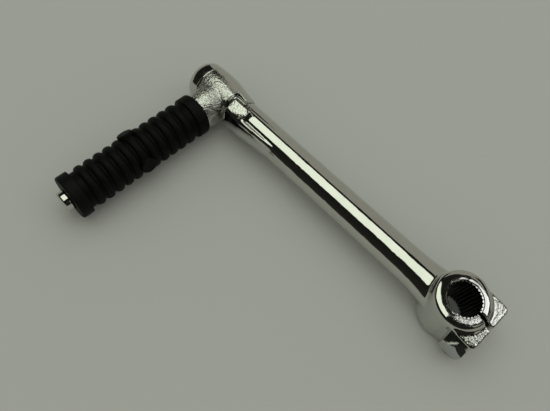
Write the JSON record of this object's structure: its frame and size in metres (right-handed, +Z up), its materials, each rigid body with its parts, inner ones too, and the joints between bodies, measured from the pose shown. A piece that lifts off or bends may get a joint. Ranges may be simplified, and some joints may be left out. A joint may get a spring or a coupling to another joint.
{
  "type": "kick start lever",
  "caption": "Chrome-plated kick start lever: split serrated clamp boss with a pinch bolt, oval bar, and a pedal with a ribbed black rubber that folds about the bar's own axis",
  "frame": {"origin": "Centre of the serrated bore, half way through the boss", "axes": "+X along the bar from the boss to the head, which is also the fold axis; +Y along the folded pedal; +Z up as the lever lies on a table, with the bore's axis leaning 7 degrees from it towards -X"},
  "size_m": [0.1925, 0.1112, 0.0249],
  "materials": {
    "chrome_plate": "bright chrome plate over a forging, mirror smooth on the bar and slightly rough on the head and lugs",
    "plated_bolt": "bright plated hexagon bolt",
    "bright_steel": "turned bright steel",
    "spring_steel": "dark hardened spring steel",
    "pedal_rubber": "dull black moulded rubber"
  },
  "bodies": {
    "arm": {"kick_arm": "chrome_plate", "pinch_bolt": "plated_bolt", "thrust_washer": "bright_steel", "snap_ring": "spring_steel", "detent_ball": "bright_steel", "detent_spring": "spring_steel"},
    "pedal": {"pedal_knuckle": "chrome_plate", "dome_cap": "chrome_plate", "pedal_rubber": "pedal_rubber"}
  },
  "joints": [
    {"name": "pedal_fold", "type": "hinge", "parent": "arm", "child": "pedal", "pos_m": [0.1555, 0, 0], "axis": [1, 0, 0], "range_deg": [0, 90]}
  ]
}
